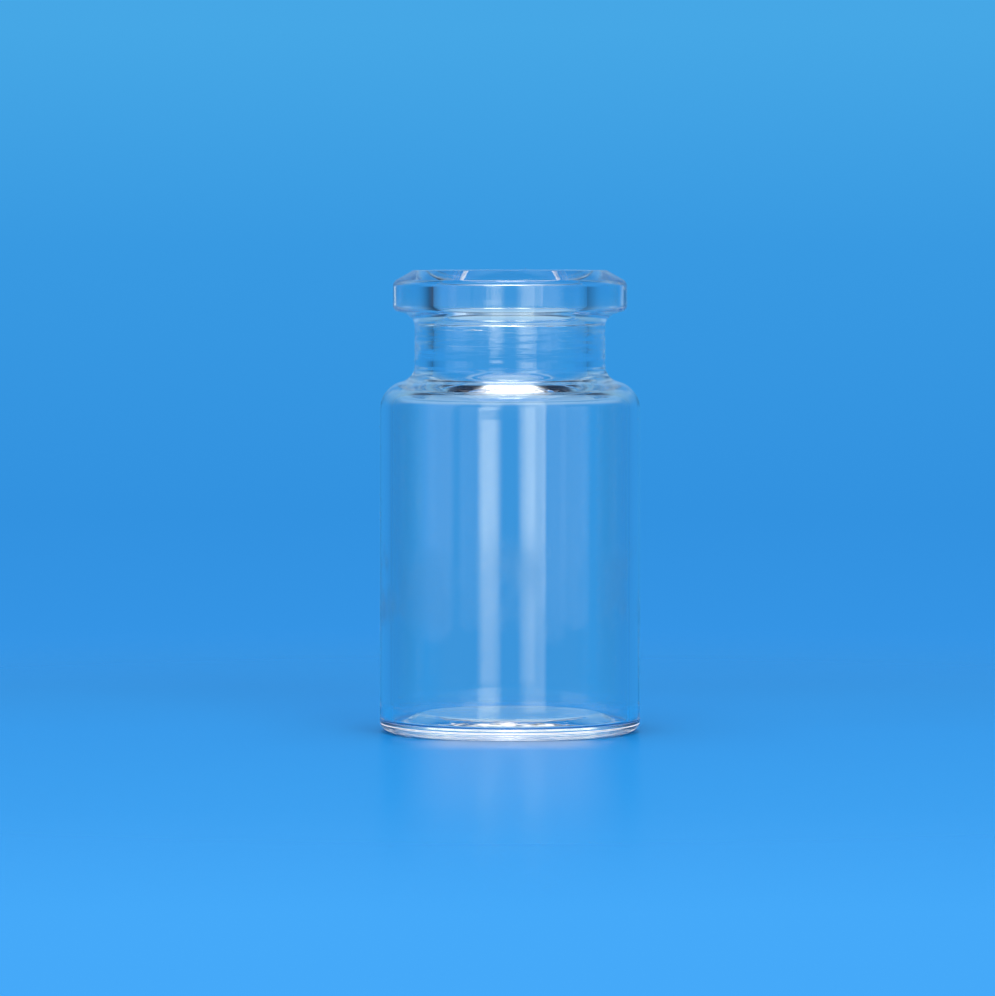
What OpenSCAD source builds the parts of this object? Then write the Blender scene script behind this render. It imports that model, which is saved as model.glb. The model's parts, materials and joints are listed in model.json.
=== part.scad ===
// Crimp-neck sample vial, formed from one length of drawn glass tube.
// Z is the axis of revolution; the resting ring lies on z = 0.

/* [Body] */
// Overall height, from the resting ring to the sealing face
height = 39; // [34:0.5:90]
// Outside diameter of the body
body_d = 22; // [20:0.25:30]
// Thickness of the body's wall
wall_t = 1; // [0.8:0.05:1.3]
// Rounding of the outer corner between body and shoulder
shoulder_round = 2.3; // [1:0.1:2.4]
// Rounding of the inner corner between body and shoulder
shoulder_inner_round = 1.2; // [0.5:0.1:1.6]

/* [Base] */
// Thickness of the glass at the rim of the base
base_t = 0.95; // [0.9:0.05:1.6]
// Rounding of the heel, between resting ring and wall
heel_round = 0.9; // [0.6:0.1:1.2]
// Width of the resting ring
ring_w = 0.6; // [0.3:0.1:1.2]
// Height of the pushed-up middle above the resting ring
push_up = 0.1; // [0.05:0.05:0.4]
// Width of the slope from the resting ring to the pushed-up middle
push_slope_w = 1.3; // [0.8:0.1:3]
// Rounding of the bend round the pushed-up middle
push_round = 1; // [0.5:0.1:1.5]
// Rounding of the inner corner between wall and floor
floor_round = 0.3; // [0.2:0.05:0.6]
// Width of the gutter round the floor, from the wall to the foot of the slope
gutter_w = 0.9; // [0.7:0.05:1.5]
// Height of the floor's raised middle above the gutter
crown_up = 0.68; // [0.2:0.02:0.8]
// Width of the slope from the gutter to the raised middle
crown_slope_w = 1.4; // [1:0.1:3]
// Rounding of the slope's upper edge, round the raised middle
crown_round = 2; // [0.5:0.1:3]
// Rounding of the slope's foot in the gutter
gutter_round = 1; // [0.3:0.1:1.5]

/* [Shoulder and neck] */
// Fall of the shoulder from the neck to the wall, in degrees
shoulder_fall = 18; // [15:1:30]
// Thickness of the glass in the shoulder
shoulder_t = 1; // [0.8:0.05:1.5]
// Outside diameter of the neck
neck_d = 16.1; // [15.5:0.1:17]
// Diameter of the bore through flange and neck
bore_d = 13; // [12:0.1:13.4]
// Length of the neck between the slopes of flange and shoulder
neck_l = 5.1; // [4:0.1:12]
// Rounding of the outer corner at the root of the neck
root_round = 1.3; // [0.5:0.1:1.5]
// Rounding of the bore's lower end into the shoulder
throat_round = 1.6; // [0.8:0.1:2]

/* [Crimp flange] */
// Outside diameter of the flange
flange_d = 19.8; // [19.5:0.05:20.2]
// Height of the flange's straight band
band_h = 2.4; // [1.8:0.05:2.7]
// Outside diameter of the flat sealing face
seal_d = 16.3; // [15:0.1:17]
// Height of the bevel between sealing face and band
bevel_h = 1; // [0.7:0.05:1.3]
// Rise of the flange's underside from the neck to the band, in degrees
under_rise = 16; // [12:1:28]
// Rounding under the flange, where it meets the neck
under_round = 1.1; // [0.8:0.1:1.6]
// Fire-polished rounding of the band's lower edge
foot_round = 0.6; // [0.3:0.05:0.8]
// Fire-polished rounding of the edge between band and bevel
edge_round = 0.7; // [0.2:0.05:0.9]
// Fire-polished rounding of the sealing face's two edges
lip_round = 0.45; // [0.2:0.05:0.6]

/* [Hidden] */

ARC_STEP = 7.5;   // widest turn of one facet of a rounding, in degrees
TURN = 128;       // facets of a full turn in a preview
USABLE = 0.98;    // share of a side that the roundings at its two ends may take up

// Radii
body_r = body_d / 2;
cavity_r = body_r - wall_t;
ring_inner_r = body_r - heel_round - ring_w;
push_r = ring_inner_r - push_slope_w;
gutter_r = cavity_r - gutter_w;
crown_r = gutter_r - crown_slope_w;
neck_r = neck_d / 2;
bore_r = bore_d / 2;
flange_r = flange_d / 2;
seal_r = seal_d / 2;

// Heights, from the sealing face down
band_top = height - bevel_h;
band_foot = band_top - band_h;
under_root = band_foot - (flange_r - neck_r) * tan(under_rise);
neck_root = under_root - neck_l;
shoulder_top = neck_root - (body_r - neck_r) * tan(shoulder_fall);
shoulder_drop = shoulder_t / cos(shoulder_fall);
throat = neck_root - (bore_r - neck_r) * tan(shoulder_fall) - shoulder_drop;
cavity_top = neck_root - (cavity_r - neck_r) * tan(shoulder_fall) - shoulder_drop;

// The wall's half section as corners [radius, height, rounding]:
// outside from the axis to the sealing face, then inside back to the axis
OUTSIDE = [
    [0, push_up, 0],
    [push_r, push_up, push_round],
    [ring_inner_r, 0, 0],
    [body_r, 0, heel_round],
    [body_r, shoulder_top, shoulder_round],
    [neck_r, neck_root, root_round],
    [neck_r, under_root, under_round],
    [flange_r, band_foot, foot_round],
    [flange_r, band_top, edge_round],
    [seal_r, height, lip_round],
];
INSIDE = [
    [bore_r, height, lip_round],
    [bore_r, throat, throat_round],
    [cavity_r, cavity_top, shoulder_inner_round],
    [cavity_r, base_t, floor_round],
    [gutter_r, base_t, gutter_round],
    [crown_r, base_t + crown_up, crown_round],
    [0, base_t + crown_up, 0],
];

function unit(v) = v / norm(v);

// Vector from corner a to corner b
function way(a, b) = [b.x - a.x, b.y - a.y];

// How far the rounding of corner b reaches along its sides, towards a and c
function reach(a, b, c) = b.z / tan(acos(unit(way(b, a)) * unit(way(b, c))) / 2);

// Share of their roundings that corners b and c keep on the side between them
function share(a, b, c, d) =
    min(1, USABLE * norm(way(b, c)) / (reach(a, b, c) + reach(b, c, d)));

// Points of the arc of a radius that rounds corner b, between its neighbours a and c
function arc(a, b, c, radius) =
    let (
        to_a = unit(way(b, a)),
        to_c = unit(way(b, c)),
        half = acos(to_a * to_c) / 2,
        centre = [b.x, b.y] + unit(to_a + to_c) * radius / sin(half),
        start = [b.x, b.y] + to_a * radius / tan(half) - centre,
        turn = 180 - 2 * half,
        hand = sign(cross(to_c, to_a)),
        steps = ceil(turn / ARC_STEP)
    )
    [for (i = [0:steps])
        let (angle = hand * turn * i / steps)
        centre + [
            start.x * cos(angle) - start.y * sin(angle),
            start.x * sin(angle) + start.y * cos(angle)
        ]];

// A closed outline whose corners are rounded where they carry a radius
function rounded(corners) =
    let (n = len(corners))
    [for (i = [0:n - 1])
        let (
            near = [for (k = [-2:2]) corners[(i + n + k) % n]],
            kept = min(
                share(near[0], near[1], near[2], near[3]),
                share(near[1], near[2], near[3], near[4])
            )
        )
        each near[2].z > 0
            ? arc(near[1], near[2], near[3], near[2].z * kept)
            : [[near[2].x, near[2].y]]];

module vial() {
    color("lightcyan", 0.35)
        rotate_extrude($fn = TURN)
            polygon(rounded(concat(OUTSIDE, INSIDE)));
}

vial();
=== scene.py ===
"""Crimp-neck sample vial of clear glass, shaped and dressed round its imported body.

The wall is raised ring by ring from the middle of the base, rounded like
flame-worked glass, and given the faint marks that drawing and forming leave.
All lengths are in metres.
"""

from __future__ import annotations

import json
import logging
import math
from dataclasses import dataclass
from enum import Enum
from typing import Any

import bmesh
import bpy
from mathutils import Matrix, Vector

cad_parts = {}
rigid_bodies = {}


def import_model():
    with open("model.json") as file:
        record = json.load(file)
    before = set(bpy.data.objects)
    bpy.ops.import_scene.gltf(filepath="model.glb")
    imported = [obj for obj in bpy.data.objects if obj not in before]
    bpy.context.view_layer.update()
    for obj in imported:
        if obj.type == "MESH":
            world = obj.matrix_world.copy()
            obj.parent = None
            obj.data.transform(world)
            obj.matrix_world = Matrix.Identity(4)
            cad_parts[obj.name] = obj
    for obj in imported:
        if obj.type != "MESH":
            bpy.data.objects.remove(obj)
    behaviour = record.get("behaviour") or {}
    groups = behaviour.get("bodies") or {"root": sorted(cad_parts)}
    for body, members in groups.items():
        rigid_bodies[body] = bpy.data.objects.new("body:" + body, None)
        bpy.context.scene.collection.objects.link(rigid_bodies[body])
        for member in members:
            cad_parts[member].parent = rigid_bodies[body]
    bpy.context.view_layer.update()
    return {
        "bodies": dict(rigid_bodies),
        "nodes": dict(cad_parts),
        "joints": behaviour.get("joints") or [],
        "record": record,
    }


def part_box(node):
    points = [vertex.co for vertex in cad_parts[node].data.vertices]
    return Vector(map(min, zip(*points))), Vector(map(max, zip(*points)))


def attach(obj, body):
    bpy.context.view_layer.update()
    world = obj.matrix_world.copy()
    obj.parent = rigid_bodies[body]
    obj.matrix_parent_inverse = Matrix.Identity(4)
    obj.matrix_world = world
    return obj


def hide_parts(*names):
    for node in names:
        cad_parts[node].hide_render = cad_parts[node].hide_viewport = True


LOG = logging.getLogger("vial")

MM = 0.001
BODY = "root"
NODE = "vial"
MAX_BOUNCES = 48
GLOSSY_BOUNCES = 32
GLASS_BOUNCES = 40

Colour = tuple[float, float, float]
Point = tuple[float, float, float]
Span = tuple[float, float]


# --------------------------------------------------------------------------
# Shader writing
# --------------------------------------------------------------------------


class Signal:
    """A number in a shader, which adds Math nodes as it is used in expressions."""

    def __init__(self, sheet: NodeSheet, socket: bpy.types.NodeSocket) -> None:
        """Wraps a socket.

        Args:
            sheet: The sheet that new nodes are added to.
            socket: The output that carries the number.
        """
        self.sheet = sheet
        self.socket = socket

    def _math(self, operation: str, *terms: Any) -> Signal:
        """Adds one Math node.

        Args:
            operation: Blender's name of the operation.
            *terms: The node's inputs in order, as signals or numbers.

        Returns:
            The node's result.
        """
        node = self.sheet.add(
            "ShaderNodeMath", {"operation": operation}, dict(enumerate(terms))
        )
        return Signal(self.sheet, node.outputs[0])

    def __add__(self, other: Any) -> Signal:
        """Adds a signal or a number."""
        return self._math("ADD", self, other)

    __radd__ = __add__

    def __sub__(self, other: Any) -> Signal:
        """Takes a signal or a number away."""
        return self._math("SUBTRACT", self, other)

    def __rsub__(self, other: Any) -> Signal:
        """Takes this signal away from a number."""
        return self._math("SUBTRACT", other, self)

    def __mul__(self, other: Any) -> Signal:
        """Multiplies by a signal or a number."""
        return self._math("MULTIPLY", self, other)

    __rmul__ = __mul__

    def __truediv__(self, other: Any) -> Signal:
        """Divides by a signal or a number."""
        return self._math("DIVIDE", self, other)

    def root(self) -> Signal:
        """Takes the square root."""
        return self._math("SQRT", self)

    def size(self) -> Signal:
        """Drops the sign."""
        return self._math("ABSOLUTE", self)

    def above(self, low: float, high: float) -> Signal:
        """Rises smoothly from 0 to 1.

        Args:
            low: Where the rise starts.
            high: Where the rise ends.

        Returns:
            The smooth step.
        """
        node = self.sheet.add(
            "ShaderNodeMapRange",
            {"interpolation_type": "SMOOTHSTEP"},
            {"Value": self, "From Min": low, "From Max": high},
        )
        return Signal(self.sheet, node.outputs["Result"])

    def below(self, low: float, high: float) -> Signal:
        """Falls smoothly from 1 at low to 0 at high."""
        return 1 - self.above(low, high)

    def within(self, rise: Span, fall: Span) -> Signal:
        """Rises smoothly over one span and falls again over the next."""
        return self.above(*rise) * self.below(*fall)


class NodeSheet:
    """The node tree of one material or of the world."""

    def __init__(self, tree: bpy.types.NodeTree) -> None:
        """Empties the tree."""
        self.tree = tree
        tree.nodes.clear()

    def add(
        self,
        kind: str,
        settings: dict[str, Any] | None = None,
        inputs: dict[str | int, Any] | None = None,
    ) -> bpy.types.Node:
        """Adds a node.

        Args:
            kind: The node's type.
            settings: Its settings, such as an operation; "stops" fills a ramp.
            inputs: Values, sockets or signals for its inputs.

        Returns:
            The new node.
        """
        node = self.tree.nodes.new(kind)
        for name, value in (settings or {}).items():
            if name == "stops":
                self._fill_ramp(node.color_ramp, value)
            else:
                setattr(node, name, value)
        for name, value in (inputs or {}).items():
            socket = node.inputs[name]
            source = value.socket if isinstance(value, Signal) else value
            if isinstance(source, bpy.types.NodeSocket):
                self.tree.links.new(source, socket)
            else:
                socket.default_value = source
        return node

    @staticmethod
    def _fill_ramp(ramp: bpy.types.ColorRamp, stops: list[tuple[float, Colour]]) -> None:
        """Sets a colour ramp's stops.

        Args:
            ramp: The ramp to fill.
            stops: Places from 0 to 1, in order, each with its colour.
        """
        while len(ramp.elements) < len(stops):
            ramp.elements.new(1.0)
        for element, (place, colour) in zip(ramp.elements, stops, strict=True):
            element.position = place
            element.color = (*colour, 1.0)

    def blend(self, share: Any, start: Any, end: Any) -> bpy.types.NodeSocket:
        """Mixes two colours.

        Args:
            share: How much of the second colour shows.
            start: The first colour, as a socket or plain numbers.
            end: The second colour.

        Returns:
            The mixed colour.
        """
        colours = [(*c, 1.0) if isinstance(c, tuple) else c for c in (start, end)]
        node = self.add(
            "ShaderNodeMix", {"data_type": "RGBA"}, {0: share, 6: colours[0], 7: colours[1]}
        )
        return node.outputs[2]

    def mix(self, share: Any, start: bpy.types.Node, end: bpy.types.Node) -> bpy.types.Node:
        """Mixes two shaders.

        Args:
            share: How much of the second shader shows.
            start: The first shader's node.
            end: The second shader's node.

        Returns:
            The Mix Shader node.
        """
        sockets = {0: share, 1: start.outputs[0], 2: end.outputs[0]}
        return self.add("ShaderNodeMixShader", None, sockets)

    def signal(self, node: bpy.types.Node, output: str | int = 0) -> Signal:
        """Returns one output of a node as a signal."""
        return Signal(self, node.outputs[output])


# --------------------------------------------------------------------------
# Modelling by hand
# --------------------------------------------------------------------------


class Workbench:
    """Edit-mode work on one turned piece.

    Attributes:
        TOUCH: How far a point may be from a ring's exact place.
        MERGE: Distance under which two points become one.
        piece: The piece on the bench.
    """

    TOUCH = 0.002 * MM
    MERGE = TOUCH / 10

    def __init__(self, piece: bpy.types.Object) -> None:
        """Takes the piece to work on, which is in edit mode."""
        self.piece = piece

    @classmethod
    def start_disc(cls, name: str, radius: float, height: float, segments: int) -> Workbench:
        """Starts a turned piece from a flat disc and goes into edit mode.

        Args:
            name: The piece's name.
            radius: The disc's radius.
            height: The disc's height.
            segments: Edges round the disc.

        Returns:
            The bench with the disc's rim ready to be extruded.
        """
        bpy.ops.object.select_all(action="DESELECT")
        bpy.ops.mesh.primitive_circle_add(
            vertices=segments, radius=radius, fill_type="TRIFAN", location=(0, 0, height)
        )
        piece = bpy.context.object
        piece.name = name
        piece.data.name = name
        bpy.ops.object.transform_apply(location=True, rotation=True, scale=True)
        bpy.ops.object.mode_set(mode="EDIT")
        bench = cls(piece)
        bench.select_ring(radius, height)
        return bench

    def select_ring(self, radius: float, height: float) -> None:
        """Selects the edges of one ring and nothing else.

        Args:
            radius: The ring's radius.
            height: The ring's height.
        """
        bpy.ops.mesh.select_mode(type="EDGE")
        bpy.ops.mesh.select_all(action="DESELECT")
        bm = bmesh.from_edit_mesh(self.piece.data)
        on_ring = {
            v
            for v in bm.verts
            if abs(v.co.z - height) < self.TOUCH
            and abs(math.hypot(v.co.x, v.co.y) - radius) < self.TOUCH
        }
        for edge in bm.edges:
            if edge.verts[0] in on_ring and edge.verts[1] in on_ring:
                edge.select_set(True)
        bmesh.update_edit_mesh(self.piece.data)

    def extrude_ring(self, start: Corner, end: Corner) -> None:
        """Extrudes the selected ring to the next corner.

        Args:
            start: The corner that the selected ring lies on.
            end: The corner that it is drawn to.
        """
        rise = end.height - start.height
        spread = end.radius / start.radius
        bpy.ops.mesh.extrude_edges_move(TRANSFORM_OT_translate={"value": (0, 0, rise)})
        bpy.ops.transform.resize(value=(spread, spread, 1), center_override=(0, 0, 0))

    def close_disc(self) -> None:
        """Closes the selected ring with a fan of faces."""
        bpy.ops.mesh.edge_face_add()
        bpy.ops.mesh.poke()

    def round_ring(self, corner: Corner, before: Corner, after: Corner, segments: int) -> None:
        """Rounds one corner of the section all the way round.

        Args:
            corner: The corner to round.
            before: The corner before it along the section.
            after: The corner after it.
            segments: Faces across the rounding.
        """
        self.select_ring(corner.radius, corner.height)
        bpy.ops.mesh.bevel(
            offset_type="OFFSET",
            offset=corner.cut(before, after),
            segments=segments,
            profile=0.5,
            affect="EDGES",
            clamp_overlap=False,
        )

    def cut_rings(self, low: float, high: float, spacing: float) -> None:
        """Adds evenly spaced rings to the upright walls between two heights.

        Args:
            low: Height of the first ring.
            high: Height of the last ring.
            spacing: Widest distance between rings.
        """
        steps = math.ceil((high - low) / spacing)
        for step in range(steps + 1):
            bpy.ops.mesh.select_all(action="SELECT")
            height = low + (high - low) * step / steps
            bpy.ops.mesh.bisect(plane_co=(0, 0, height), plane_no=(0, 0, 1))

    def finish(self) -> bpy.types.Object:
        """Turns all faces outwards and leaves edit mode."""
        bpy.ops.mesh.select_all(action="SELECT")
        bpy.ops.mesh.remove_doubles(threshold=self.MERGE)
        bpy.ops.mesh.normals_make_consistent(inside=False)
        bpy.ops.object.mode_set(mode="OBJECT")
        return self.piece


@dataclass(frozen=True)
class Corner:
    """A corner of the wall's half section.

    Attributes:
        radius: Distance from the axis.
        height: Height over the resting ring.
        rounding: Radius that the corner is rounded to, or 0 for none.
    """

    radius: float
    height: float
    rounding: float = 0.0

    def cut(self, before: Corner, after: Corner) -> float:
        """Works out where the rounding starts.

        Args:
            before: The corner before this one.
            after: The corner after this one.

        Returns:
            The distance from the corner to where its rounding touches each side.
        """
        here = Vector((self.radius, self.height))
        inward = here - Vector((before.radius, before.height))
        onward = Vector((after.radius, after.height)) - here
        return self.rounding * math.tan(inward.angle(onward) / 2)


# --------------------------------------------------------------------------
# The vial
# --------------------------------------------------------------------------


@dataclass(frozen=True)
class ClearGlass:
    """Clear colourless glass with a fire-polished skin.

    Attributes:
        tint: Colour of light that has passed through.
        ior: Index of refraction.
        haze: Roughness of the faint bloom on the skin.
        haze_low: Height where the bloom starts.
        haze_high: Height where it ends.
        haze_fade: Height over which it comes and goes.
        patch_waves: Patches of bloom per metre along each axis.
        patch_edge: Values of the noise between which a patch sets in.
        patch_detail: How much fine noise lies on the patches.
        line_spacing: Distance between draw lines round the wall.
        line_waves: Waves per metre along a draw line.
        line_detail: How much fine noise lies on the draw lines.
        line_depth: Depth of the draw lines.
        ring_spacing: Distance between the forming rings in the neck.
        ring_waves: Waves per metre along a forming ring.
        ring_detail: How much fine noise lies on the forming rings.
        ring_depth: Depth of the forming rings.
        ring_low: Height of the lowest forming ring.
        ring_high: Height of the highest forming ring.
        ring_fade: Height over which the rings come and go.
    """

    tint: Colour = (0.985, 0.995, 1.0)
    ior: float = 1.49
    haze: float = 0.2
    haze_low: float = 7.0 * MM
    haze_high: float = 18.0 * MM
    haze_fade: float = 4.0 * MM
    patch_waves: Point = (210.0, 210.0, 110.0)
    patch_edge: Span = (0.50, 0.62)
    patch_detail: float = 3.0
    line_spacing: float = 1.6 * MM
    line_waves: float = 12.0
    line_detail: float = 2.0
    line_depth: float = 0.010 * MM
    ring_spacing: float = 0.7 * MM
    ring_waves: float = 150.0
    ring_detail: float = 3.0
    ring_depth: float = 0.09 * MM
    ring_low: float = 32.4 * MM
    ring_high: float = 33.8 * MM
    ring_fade: float = 1.2 * MM

    def make(self) -> bpy.types.Material:
        """Builds the material.

        Returns:
            The glass, with its pattern fixed to the piece.
        """
        material = bpy.data.materials.new("clear_glass")
        material.use_nodes = True
        sheet = NodeSheet(material.node_tree)
        place = sheet.add("ShaderNodeTexCoord").outputs["Object"]
        height = sheet.signal(sheet.add("ShaderNodeSeparateXYZ", None, {0: place}), "Z")
        across = 1 / self.line_spacing
        lines = self._grain(sheet, place, (across, across, self.line_waves), self.line_detail)
        round_waves = (self.ring_waves, self.ring_waves, 1 / self.ring_spacing)
        rings = self._grain(sheet, place, round_waves, self.ring_detail)
        patches = self._grain(sheet, place, self.patch_waves, self.patch_detail)
        formed = height.within(
            (self.ring_low - self.ring_fade, self.ring_low),
            (self.ring_high, self.ring_high + self.ring_fade),
        )
        dulled = height.within(
            (self.haze_low, self.haze_low + self.haze_fade),
            (self.haze_high - self.haze_fade, self.haze_high),
        )
        skin = lines * self.line_depth + rings * formed * self.ring_depth
        bump = sheet.add("ShaderNodeBump", None, {"Distance": 1.0, "Height": skin})
        glass = sheet.add(
            "ShaderNodeBsdfPrincipled",
            {"distribution": "MULTI_GGX"},
            {
                "Base Color": (*self.tint, 1.0),
                "Transmission Weight": 1.0,
                "IOR": self.ior,
                "Roughness": patches.above(*self.patch_edge) * dulled * self.haze,
                "Normal": bump.outputs[0],
            },
        )
        sheet.add("ShaderNodeOutputMaterial", None, {"Surface": glass.outputs[0]})
        return material

    @staticmethod
    def _grain(
        sheet: NodeSheet, place: bpy.types.NodeSocket, scale: Point, detail: float
    ) -> Signal:
        """Adds a noise that is stretched along the axes.

        Args:
            sheet: The nodes to add to.
            place: The position on the piece.
            scale: Waves per metre along each axis.
            detail: How much fine noise lies on the coarse noise.

        Returns:
            The noise, about 0.5 on average.
        """
        mapping = sheet.add(
            "ShaderNodeMapping", {"vector_type": "POINT"}, {"Vector": place, "Scale": scale}
        )
        noise = sheet.add(
            "ShaderNodeTexNoise",
            None,
            {"Vector": mapping.outputs[0], "Scale": 1.0, "Detail": detail},
        )
        return sheet.signal(noise)


@dataclass
class Vial:
    """The vial, formed from one length of drawn tube.

    Attributes:
        height: Overall height.
        body_r: Outer radius of the body.
        bore_r: Radius of the bore.
        flange_r: Outer radius of the crimp flange.
        turn_segments: Faces round the axis.
        arc_segments: Faces across a rounding.
        wall_low: Height of the lowest of the rings that even out the wall's faces.
        wall_high: Height of the highest of them.
        wall_step: Widest distance between them.
        wall_t: Thickness of the body's wall.
        shoulder_round: Rounding outside, between body and shoulder.
        shoulder_inner_round: Rounding inside, between body and shoulder.
        base_t: Thickness of the base at its rim.
        heel_round: Rounding between resting ring and wall.
        ring_w: Width of the resting ring.
        push_up: Height of the pushed-up middle of the underside.
        push_slope_w: Width of the slope up to it.
        push_round: Rounding of the bend round it.
        floor_round: Rounding inside, between wall and floor.
        gutter_w: Width of the gutter round the floor.
        crown_up: Height of the floor's raised middle above the gutter.
        crown_slope_w: Width of the slope up to it.
        crown_round: Rounding of the slope's upper edge.
        gutter_round: Rounding of the slope's foot.
        shoulder_fall: Angle that the shoulder falls by.
        shoulder_t: Thickness of the shoulder.
        neck_r: Outer radius of the neck.
        neck_l: Length of the neck between the slopes of flange and shoulder.
        root_round: Rounding at the root of the neck.
        throat_round: Rounding of the bore's lower end.
        band_h: Height of the flange's straight band.
        seal_r: Outer radius of the sealing face.
        bevel_h: Height of the bevel above the band.
        under_rise: Angle that the flange's underside rises by.
        under_round: Rounding under the flange, at the neck.
        foot_round: Rounding of the band's lower edge.
        edge_round: Rounding of the band's upper edge.
        lip_round: Rounding of the sealing face's two edges.
    """

    height: float
    body_r: float
    bore_r: float
    flange_r: float
    turn_segments: int = 256
    arc_segments: int = 10
    wall_low: float = 2.6 * MM
    wall_high: float = 26.6 * MM
    wall_step: float = 0.8 * MM

    wall_t: float = 1.0 * MM
    shoulder_round: float = 2.3 * MM
    shoulder_inner_round: float = 1.2 * MM
    base_t: float = 0.95 * MM
    heel_round: float = 0.9 * MM
    ring_w: float = 0.6 * MM
    push_up: float = 0.1 * MM
    push_slope_w: float = 1.3 * MM
    push_round: float = 1.0 * MM
    floor_round: float = 0.3 * MM
    gutter_w: float = 0.9 * MM
    crown_up: float = 0.68 * MM
    crown_slope_w: float = 1.4 * MM
    crown_round: float = 2.0 * MM
    gutter_round: float = 1.0 * MM
    shoulder_fall: float = math.radians(18)
    shoulder_t: float = 1.0 * MM
    neck_r: float = 8.05 * MM
    neck_l: float = 5.1 * MM
    root_round: float = 1.3 * MM
    throat_round: float = 1.6 * MM
    band_h: float = 2.4 * MM
    seal_r: float = 8.15 * MM
    bevel_h: float = 1.0 * MM
    under_rise: float = math.radians(16)
    under_round: float = 1.1 * MM
    foot_round: float = 0.6 * MM
    edge_round: float = 0.7 * MM
    lip_round: float = 0.45 * MM

    @classmethod
    def from_frame(cls, frame: dict[str, Any]) -> Vial:
        """Takes the vial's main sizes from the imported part.


        Returns:
            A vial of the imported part's size.
        """
        low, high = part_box(NODE)
        radii = {m["name"]: m["dims"].get("r_mm", 0) * MM for m in frame["record"]["mounts"]}
        return cls(
            height=high.z - low.z,
            body_r=(high.x - low.x) / 2,
            bore_r=radii["mouth"],
            flange_r=radii["crimp_flange"],
        )

    def _shoulder_at(self, root: float, radius: float) -> float:
        """Returns the height of the shoulder's slope at a radius, from its height at the neck."""
        return root - (radius - self.neck_r) * math.tan(self.shoulder_fall)

    def corners(self) -> list[Corner]:
        """Lists the wall's half section.

        Returns:
            The corners from the underside's middle up the outside, over the
            sealing face and down the inside to the floor's middle.
        """
        cavity_r = self.body_r - self.wall_t
        ring_inner = self.body_r - self.heel_round - self.ring_w
        gutter_r = cavity_r - self.gutter_w
        band_top = self.height - self.bevel_h
        band_foot = band_top - self.band_h
        under = band_foot - (self.flange_r - self.neck_r) * math.tan(self.under_rise)
        neck_root = under - self.neck_l
        inner_root = neck_root - self.shoulder_t / math.cos(self.shoulder_fall)
        return [
            Corner(ring_inner - self.push_slope_w, self.push_up, self.push_round),
            Corner(ring_inner, 0.0),
            Corner(self.body_r, 0.0, self.heel_round),
            Corner(self.body_r, self._shoulder_at(neck_root, self.body_r), self.shoulder_round),
            Corner(self.neck_r, neck_root, self.root_round),
            Corner(self.neck_r, under, self.under_round),
            Corner(self.flange_r, band_foot, self.foot_round),
            Corner(self.flange_r, band_top, self.edge_round),
            Corner(self.seal_r, self.height, self.lip_round),
            Corner(self.bore_r, self.height, self.lip_round),
            Corner(self.bore_r, self._shoulder_at(inner_root, self.bore_r), self.throat_round),
            Corner(cavity_r, self._shoulder_at(inner_root, cavity_r), self.shoulder_inner_round),
            Corner(cavity_r, self.base_t, self.floor_round),
            Corner(gutter_r, self.base_t, self.gutter_round),
            Corner(gutter_r - self.crown_slope_w, self.base_t + self.crown_up, self.crown_round),
        ]

    def build(self) -> bpy.types.Object:
        """Shapes the wall.

        Returns:
            The finished mesh, in place and smooth.
        """
        corners = self.corners()
        first, last = corners[0], corners[-1]
        bench = Workbench.start_disc("vial_glass", first.radius, first.height, self.turn_segments)
        for start, end in zip(corners, corners[1:]):
            bench.extrude_ring(start, end)
        bench.close_disc()
        middle = [Corner(0.0, first.height), *corners, Corner(0.0, last.height)]
        for before, corner, after in zip(middle, middle[1:], middle[2:]):
            if corner.rounding:
                bench.round_ring(corner, before, after, self.arc_segments)
        bench.cut_rings(self.wall_low, self.wall_high, self.wall_step)
        piece = bench.finish()
        for polygon in piece.data.polygons:
            polygon.use_smooth = True
        even = piece.modifiers.new("even_normals", "WEIGHTED_NORMAL")
        bpy.ops.object.modifier_apply(modifier=even.name)
        return piece

    def dress(self, piece: bpy.types.Object) -> None:
        """Gives the wall its glass and puts it in the frame.

        Args:
            piece: The mesh that build() returned.
        """
        piece.data.materials.clear()
        piece.data.materials.append(ClearGlass().make())
        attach(piece, BODY)
        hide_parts(NODE)


# --------------------------------------------------------------------------
# The studio
# --------------------------------------------------------------------------


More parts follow.
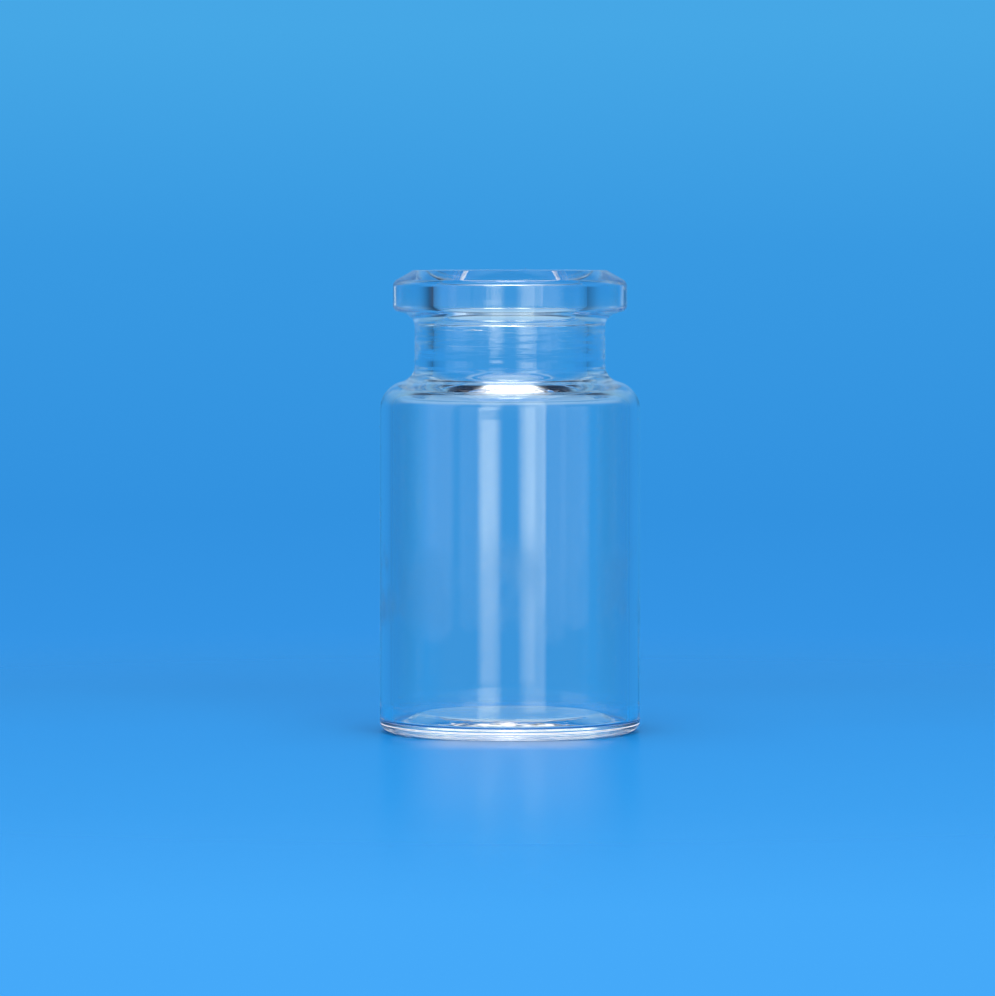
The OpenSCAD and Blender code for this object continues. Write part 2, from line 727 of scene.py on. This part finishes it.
@dataclass(frozen=True)
class Softbox:
    """A flat soft lamp that faces the vial.

    Attributes:
        name: What the lamp is called.
        bearing: Degrees round the vial from the camera's side, to the right.
        climb: Degrees above the table, seen from the vial's middle.
        distance: Distance from the vial's middle.
        width: Width across.
        length: Length up and down.
        radiance: Brightness of its face, where 1 is white.
        soft: Shares of the width over which its left and right edges fade.
        dim_below: Height under which the face fades to half, or None.
        bar: Lowest and highest point of a dark bar across the face, or None.
        colour: Colour of its light.
        DIMMED: Share of the brightness that is left under dim_below.
        DIM_FADE: Height over which the face dims.
        BAR_FADE: Height over which the bar's edges fade.
    """

    DIMMED = 0.5
    DIM_FADE = 0.04
    BAR_FADE = 0.002

    name: str
    bearing: float
    climb: float
    distance: float
    width: float
    length: float
    radiance: float
    soft: Span = (0.1, 0.1)
    dim_below: float | None = None
    bar: Span | None = None
    colour: Colour = (1.0, 1.0, 1.0)

    def light(self, target: Vector) -> None:
        """Hangs the lamp.

        Args:
            target: The point that it faces.
        """
        turn, climb = math.radians(self.bearing), math.radians(self.climb)
        way = Vector(
            (
                math.sin(turn) * math.cos(climb),
                -math.cos(turn) * math.cos(climb),
                math.sin(climb),
            )
        )
        lamp = bpy.data.lights.new(self.name, "AREA")
        lamp.shape = "RECTANGLE"
        lamp.size = self.width
        lamp.size_y = self.length
        lamp.energy = self.radiance * math.pi * self.width * self.length
        lamp.color = self.colour
        holder = bpy.data.objects.new(self.name, lamp)
        bpy.context.scene.collection.objects.link(holder)
        holder.location = target + way * self.distance
        holder.rotation_mode = "QUATERNION"
        holder.rotation_quaternion = (-way).to_track_quat("-Z", "Y")
        holder.visible_camera = False
        self._shade(lamp, holder.location.z, math.cos(climb))

    def _shade(self, lamp: bpy.types.AreaLight, height: float, upright: float) -> None:
        """Fades the lamp's face towards its edges.

        Args:
            lamp: The lamp.
            height: Height of its middle over the table.
            upright: Rise of the face for each metre along its length.
        """
        lamp.use_nodes = True
        sheet = NodeSheet(lamp.node_tree)
        face = sheet.add("ShaderNodeNewGeometry")
        split = sheet.add("ShaderNodeSeparateXYZ", None, {0: face.outputs["Parametric"]})
        across = sheet.signal(split, "X")
        along = sheet.signal(split, "Y")
        rise = (along - 0.5) * (self.length * upright) + height
        glow = across.within((0.0, self.soft[0]), (1.0 - self.soft[1], 1.0))
        if self.dim_below is not None:
            lit = rise.above(self.dim_below - self.DIM_FADE, self.dim_below)
            glow = glow * (self.DIMMED + (1 - self.DIMMED) * lit)
        if self.bar is not None:
            low, high = self.bar
            lower_edge = (low - self.BAR_FADE, low + self.BAR_FADE)
            glow = glow * (1 - rise.within(lower_edge, (high - self.BAR_FADE, high)))
        face_light = sheet.add("ShaderNodeEmission", None, {"Strength": glow})
        sheet.add("ShaderNodeOutputLight", None, {"Surface": face_light.outputs[0]})


class Ray(Enum):
    """The kinds of ray that a backdrop can tell apart."""

    CAMERA = "Is Camera Ray"
    GLOSSY = "Is Glossy Ray"
    TRANSMISSION = "Is Transmission Ray"


@dataclass(frozen=True)
class Gradient:
    """Colours along a number, such as the sine of the elevation.

    Attributes:
        stops: Places along the number, in order, each with its colour.
    """

    stops: tuple[tuple[float, Colour], ...]

    def paint(self, sheet: NodeSheet, along: Signal) -> bpy.types.NodeSocket:
        """Adds the gradient to a shader.

        Args:
            sheet: The nodes to add to.
            along: The number that the colours follow.

        Returns:
            The colour.
        """
        low, high = self.stops[0][0], self.stops[-1][0]
        stops = [((place - low) / (high - low), colour) for place, colour in self.stops]
        ramp = sheet.add(
            "ShaderNodeValToRGB", {"stops": stops}, {0: (along - low) / (high - low)}
        )
        return ramp.outputs[0]


@dataclass(frozen=True)
class Table:
    """A satin table that fades into the backdrop all round.

    Light that the glass gathers is painted on it: a glow under the back of the wall,
    a pale spill before the vial and a glow of its own colour under the base. Its
    colour is also painted lighter towards its front for the falloff of the light.

    Attributes:
        paint: Its colour, from its front to its back, with the falloff of the light painted in:
            lighter at the front, darker at the back.
        radius: Its radius.
        segments: Edges round it.
        fade: The radii between which it fades out.
        near_fade: The radii between which it fades for rays off the glass.
        ior: Index of refraction that its gloss is worked out from.
        gloss: Share of that gloss which it shows.
        sheen: Roughness of its satin surface.
        light: Colour of the painted light that stands in for light the glass gathers.
        painted_heel_glow: Brightness of the painted glow under the back of the wall, a painted
            pool of light.
        heel_start: Distances behind the axis over which that patch sets in.
        heel_end: Distances behind the axis over which it ends.
        heel_side: Distances to either side over which it ends.
        spill_start: Distances before the axis over which the painted spill of pale light sets in.
        spill_side: Distances to either side over which it ends.
        spill_near: Share of it right in front of the vial.
        spill_near_end: Distances before the axis over which that share ends.
        spill_far: Share of it farther out.
        spill_far_end: Distances before the axis over which that share ends.
        painted_under_base_glow: Share of the table's colour that glows under the base, painted
            light in place of the light that reaches it through the base.
        base_edge: The radii between which that share ends.
    """

    # Painted falloff of the light: the colour is lighter towards the front and darker towards the
    # back.
    paint: Gradient = Gradient(
        (
            (-0.19, (0.050, 0.405, 1.000)),
            (-0.07, (0.020, 0.350, 0.960)),
            (0.00, (0.013, 0.335, 0.950)),
            (0.05, (0.010, 0.305, 0.870)),
        )
    )
    radius: float = 0.14
    segments: int = 128
    fade: Span = (0.05, 0.14)
    near_fade: Span = (0.020, 0.045)
    ior: float = 1.2
    gloss: float = 0.38
    sheen: float = 0.2
    light: Colour = (1.0, 0.97, 1.0)
    # Brightness of the painted pool of light under the back of the wall.
    painted_heel_glow: float = 1.3
    heel_start: Span = (9.0 * MM, 9.2 * MM)
    heel_end: Span = (10.1 * MM, 10.6 * MM)
    heel_side: Span = (2.2 * MM, 4.2 * MM)
    # These place a painted spill of pale light on the table before the vial.
    spill_start: Span = (8.0 * MM, 10.0 * MM)
    spill_side: Span = (4.0 * MM, 9.0 * MM)
    spill_near: float = 0.22
    spill_near_end: Span = (12.0 * MM, 20.0 * MM)
    spill_far: float = 0.055
    spill_far_end: Span = (20.0 * MM, 110.0 * MM)
    # Share of the painted glow of the table's own colour under the base.
    painted_under_base_glow: float = 0.6
    base_edge: Span = (9.0 * MM, 10.5 * MM)

    def lay(self) -> None:
        """Lays the table under the vial."""
        bpy.ops.object.select_all(action="DESELECT")
        bpy.ops.mesh.primitive_circle_add(
            vertices=self.segments, radius=self.radius, fill_type="NGON"
        )
        table = bpy.context.object
        table.name = "table"
        table.data.materials.append(self._make_paper())

    def _make_paper(self) -> bpy.types.Material:
        """Builds the table's material.

        Returns:
            The satin paper with the painted light on it.
        """
        material = bpy.data.materials.new("table_paper")
        material.use_nodes = True
        sheet = NodeSheet(material.node_tree)
        place = sheet.add("ShaderNodeTexCoord").outputs["Object"]
        split = sheet.add("ShaderNodeSeparateXYZ", None, {0: place})
        length = sheet.add("ShaderNodeVectorMath", {"operation": "LENGTH"}, {0: place})
        reach = sheet.signal(length, "Value")
        back = sheet.signal(split, "Y")
        front = 0 - back
        side = sheet.signal(split, "X").size()
        # Painted pool of light under the back of the wall, in place of light the glass gathers
        # onto the table.
        painted_heel_patch = back.within(self.heel_start, self.heel_end) * side.below(*self.heel_side)
        # Painted spill of pale light before the vial, blended into the diffuse colour.
        near = self.spill_near * front.below(*self.spill_near_end)
        far = self.spill_far * front.below(*self.spill_far_end)
        painted_spill = front.above(*self.spill_start) * side.below(*self.spill_side) * (near + far)
        # The table's colour, with the falloff of the light painted in from front to back; the
        # spill is painted onto it.
        painted = self.paint.paint(sheet, back)
        lit = sheet.blend(painted_spill, painted, self.light)
        paper = sheet.add("ShaderNodeBsdfDiffuse", None, {"Color": lit})
        satin = sheet.add("ShaderNodeBsdfGlossy", None, {"Roughness": self.sheen})
        fresnel = sheet.signal(sheet.add("ShaderNodeFresnel", None, {"IOR": self.ior}))
        bare = sheet.add("ShaderNodeBsdfTransparent")
        # Emission that paints the glowing patch of light under the back of the wall.
        glow = sheet.add(
            "ShaderNodeEmission", None, {"Color": (*self.light, 1.0), "Strength": self.painted_heel_glow}
        )
        # Emission of the table's own colour under the base: painted light in place of the light
        # that passes through the base, which lightens the glass's shadow there.
        through = sheet.add("ShaderNodeEmission", None, {"Color": painted, "Strength": 1.0})
        under = reach.below(*self.base_edge) * self.painted_under_base_glow
        surface = sheet.mix(under, sheet.mix(fresnel * self.gloss, paper, satin), through)
        top = sheet.mix(painted_heel_patch, surface, glow)
        sharp = sheet.signal(sheet.add("ShaderNodeLightPath"), Ray.GLOSSY.value)
        edge = (1 - sharp) * reach.above(*self.fade) + sharp * reach.above(*self.near_fade)
        faded = sheet.mix(edge, top, bare)
        sheet.add("ShaderNodeOutputMaterial", None, {"Surface": faded.outputs[0]})
        return material


@dataclass(frozen=True)
class Backdrop:
    """The room round the table, as it shows and as the glass sees it.

    A direction is told by its climb, the sine of its elevation, and by its
    lead, the cosine of its bearing from straight behind the vial.

    Attributes:
        seen: The backdrop as it shows behind the table.
        middle: As the glass sees it straight behind the vial, with a dark gap high up.
        flank: As the glass sees it to either side of that.
        rear: The pale wall and ceiling behind the camera.
        gloom: Colour of the unlit parts of the room.
        fill: Even light of the room on dull surfaces.
        middle_edge: Leads between which the flank gives way to the middle.
        rear_edge: Leads between which the rear gives way to the front.
        right_edge: Sideways cosines between which the left gives way to the right.
        dusk_back: Leads between which the dusk at the sides sets in.
        dusk_front: Leads between which it ends.
        dusk_low: Climbs between which it sets in.
        dusk_high: Climbs between which it ends.
        dusk_right: Share of the dusk that is missing on the right.
        corner_low: Climbs between which the dark upper corners set in.
        corner_side: Leads between which they end.
        ceiling: Climbs between which the dark ceiling sets in.
    """

    seen: Gradient = Gradient(
        (
            (-0.112, (0.060, 0.397, 0.947)),
            (-0.084, (0.044, 0.342, 0.879)),
            (-0.064, (0.035, 0.296, 0.780)),
            (-0.045, (0.032, 0.286, 0.745)),
            (0.000, (0.040, 0.321, 0.760)),
            (0.036, (0.060, 0.386, 0.791)),
            (0.500, (0.180, 0.480, 0.800)),
        )
    )
    middle: Gradient = Gradient(
        (
            (0.00, (0.038, 0.305, 0.730)),
            (0.07, (0.085, 0.350, 0.740)),
            (0.15, (0.230, 0.460, 0.765)),
            (0.41, (0.328, 0.578, 0.839)),
            (0.60, (0.460, 0.680, 0.875)),
            (0.64, (0.060, 0.110, 0.180)),
            (0.68, (0.060, 0.110, 0.180)),
            (0.72, (0.450, 0.620, 0.780)),
        )
    )
    flank: Gradient = Gradient(
        (
            (-0.05, (0.034, 0.287, 0.735)),
            (0.00, (0.038, 0.300, 0.735)),
            (0.10, (0.075, 0.320, 0.690)),
            (0.29, (0.133, 0.381, 0.700)),
            (0.50, (0.210, 0.430, 0.640)),
            (0.60, (0.060, 0.100, 0.170)),
            (0.70, (0.030, 0.050, 0.090)),
            (0.80, (0.200, 0.300, 0.420)),
        )
    )
    rear: Gradient = Gradient(
        (
            (-0.03, (0.100, 0.290, 0.600)),
            (0.10, (0.242, 0.485, 0.730)),
            (0.60, (0.352, 0.546, 0.730)),
            (0.80, (0.640, 0.690, 0.720)),
            (0.90, (0.900, 0.900, 0.920)),
        )
    )
    gloom: Colour = (0.010, 0.014, 0.030)
    fill: float = 0.42
    middle_edge: Span = (0.95, 0.99)
    rear_edge: Span = (-0.45, -0.15)
    right_edge: Span = (-0.1, 0.1)
    dusk_back: Span = (0.06, 0.26)
    dusk_front: Span = (0.30, 0.92)
    dusk_low: Span = (-0.11, -0.045)
    dusk_high: Span = (0.28, 0.40)
    dusk_right: float = 0.4
    corner_low: Span = (0.56, 0.66)
    corner_side: Span = (0.50, 0.74)
    ceiling: Span = (0.82, 0.86)

    def hang(self) -> None:
        """Colours the world."""
        world = bpy.data.worlds.new("room")
        bpy.context.scene.world = world
        world.use_nodes = True
        sheet = NodeSheet(world.node_tree)
        path = sheet.add("ShaderNodeLightPath")
        way = sheet.add("ShaderNodeTexCoord")
        split = sheet.add("ShaderNodeSeparateXYZ", None, {0: way.outputs["Generated"]})
        climb = sheet.signal(split, "Z")
        level = (1 - climb * climb).root()
        lead = sheet.signal(split, "Y") / level
        right = (sheet.signal(split, "X") / level).above(*self.right_edge)
        sharp = sheet.signal(path, Ray.GLOSSY.value) + sheet.signal(path, Ray.TRANSMISSION.value)
        even = (self.fill, self.fill, self.fill)
        unseen = sheet.blend(sharp, even, self._paint_room(sheet, climb, lead, right))
        camera = sheet.signal(path, Ray.CAMERA.value)
        shown = sheet.blend(camera, unseen, self.seen.paint(sheet, climb))
        background = sheet.add("ShaderNodeBackground", None, {"Color": shown})
        sheet.add("ShaderNodeOutputWorld", None, {"Surface": background.outputs[0]})

    def _paint_room(
        self, sheet: NodeSheet, climb: Signal, lead: Signal, right: Signal
    ) -> bpy.types.NodeSocket:
        """Colours the room as the glass sees it.

        Args:
            sheet: The nodes to add to.
            climb: The sine of the elevation.
            lead: The cosine of the bearing from straight behind the vial.
            right: 0 on the left and 1 on the right.

        Returns:
            The room's colour in every direction.
        """
        middle, flank = self.middle.paint(sheet, climb), self.flank.paint(sheet, climb)
        front = sheet.blend(lead.above(*self.middle_edge), flank, middle)
        dusk = (
            lead.within(self.dusk_back, self.dusk_front)
            * climb.within(self.dusk_low, self.dusk_high)
            * (1 - self.dusk_right * right)
        )
        corner = climb.above(*self.corner_low) * lead.below(*self.corner_side)
        dark = 1 - (1 - dusk) * (1 - corner) * (1 - climb.above(*self.ceiling))
        facing = sheet.blend(dark, front, self.gloom)
        return sheet.blend(lead.below(*self.rear_edge), facing, self.rear.paint(sheet, climb))


@dataclass(frozen=True)
class Studio:
    """A plain table and backdrop with soft lamps, in a dim room.

    Attributes:
        table: The table that the vial stands on.
        backdrop: The room round it.
        strip_colour: Colour of the two tall strips' light.
        lamps: The soft lamps.
    """

    table: Table = Table()
    backdrop: Backdrop = Backdrop()
    strip_colour: Colour = (1.0, 0.98, 0.65)
    lamps: tuple[Softbox, ...] = (
        Softbox(
            "strip_left",
            bearing=-16.0,
            climb=19.2,
            distance=0.80,
            width=0.31,
            length=0.76,
            radiance=1.6,
            soft=(0.1, 0.4),
            dim_below=-0.017,
            bar=(0.005, 0.105),
            colour=strip_colour,
        ),
        Softbox(
            "strip_right",
            bearing=19.0,
            climb=19.2,
            distance=0.80,
            width=0.41,
            length=0.76,
            radiance=2.35,
            soft=(0.50, 0.06),
            dim_below=-0.017,
            colour=strip_colour,
        ),
        Softbox(
            "side_left",
            bearing=-70.0,
            climb=14.0,
            distance=0.90,
            width=0.62,
            length=0.60,
            radiance=0.5,
            soft=(0.25, 0.1),
            dim_below=-0.03,
        ),
        Softbox(
            "side_right",
            bearing=40.5,
            climb=14.0,
            distance=0.90,
            width=0.36,
            length=0.60,
            radiance=0.42,
            soft=(0.05, 0.1),
            dim_below=-0.03,
        ),
        Softbox(
            "top",
            bearing=0.0,
            climb=81.0,
            distance=0.75,
            width=0.66,
            length=0.66,
            radiance=1.5,
            soft=(0.05, 0.05),
        ),
        Softbox(
            "top_core",
            bearing=0.0,
            climb=88.0,
            distance=0.70,
            width=0.22,
            length=0.22,
            radiance=8.0,
            soft=(0.3, 0.3),
        ),
    )

    def build(self, target: Vector) -> None:
        """Sets the studio up.

        Args:
            target: The point that the lamps face.
        """
        self.table.lay()
        self.backdrop.hang()
        for lamp in self.lamps:
            lamp.light(target)
            LOG.info("lamp %s hung", lamp.name)


@dataclass(frozen=True)
class Camera:
    """A long-lens camera a little above the table.

    Attributes:
        distance: Distance in front of the vial's axis.
        height: Height over the table.
        aside: How far it stands to the right of the vial's axis, so left where negative.
        dip: Degrees that it looks down.
        lens: Focal length in millimetres.
        sensor: Width of its sensor in millimetres.
        clip: The nearest and the farthest distance that it shows.
    """

    distance: float = 0.50
    height: float = 0.0410
    aside: float = -1.05 * MM
    dip: float = 2.434
    lens: float = 214.2
    sensor: float = 36.0
    clip: Span = (0.01, 20.0)

    def place(self) -> None:
        """Sets the camera up as the scene's camera."""
        camera = bpy.data.cameras.new("camera")
        camera.lens = self.lens
        camera.sensor_width = self.sensor
        camera.clip_start, camera.clip_end = self.clip
        holder = bpy.data.objects.new("camera", camera)
        bpy.context.scene.collection.objects.link(holder)
        holder.location = (self.aside, -self.distance, self.height)
        holder.rotation_euler = (math.radians(90 - self.dip), 0.0, 0.0)
        bpy.context.scene.camera = holder


def set_light_paths() -> None:
    """Lets light pass through all the walls of the glass, and shows colours as written."""
    scene = bpy.context.scene
    scene.view_settings.view_transform = "Standard"
    scene.cycles.max_bounces = MAX_BOUNCES
    scene.cycles.glossy_bounces = GLOSSY_BOUNCES
    scene.cycles.transmission_bounces = GLASS_BOUNCES


def main() -> None:
    """Builds the vial, the studio and the camera in order."""
    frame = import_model()
    vial = Vial.from_frame(frame)
    glass = vial.build()
    vial.dress(glass)
    LOG.info("%s: %d faces", glass.name, len(glass.data.polygons))
    Studio().build(Vector((0, 0, vial.height / 2)))
    LOG.info("studio set up")
    Camera().place()
    LOG.info("camera placed")
    set_light_paths()


if __name__ == "__main__":
    logging.basicConfig(level=logging.INFO, format="%(name)s: %(message)s")
    main()
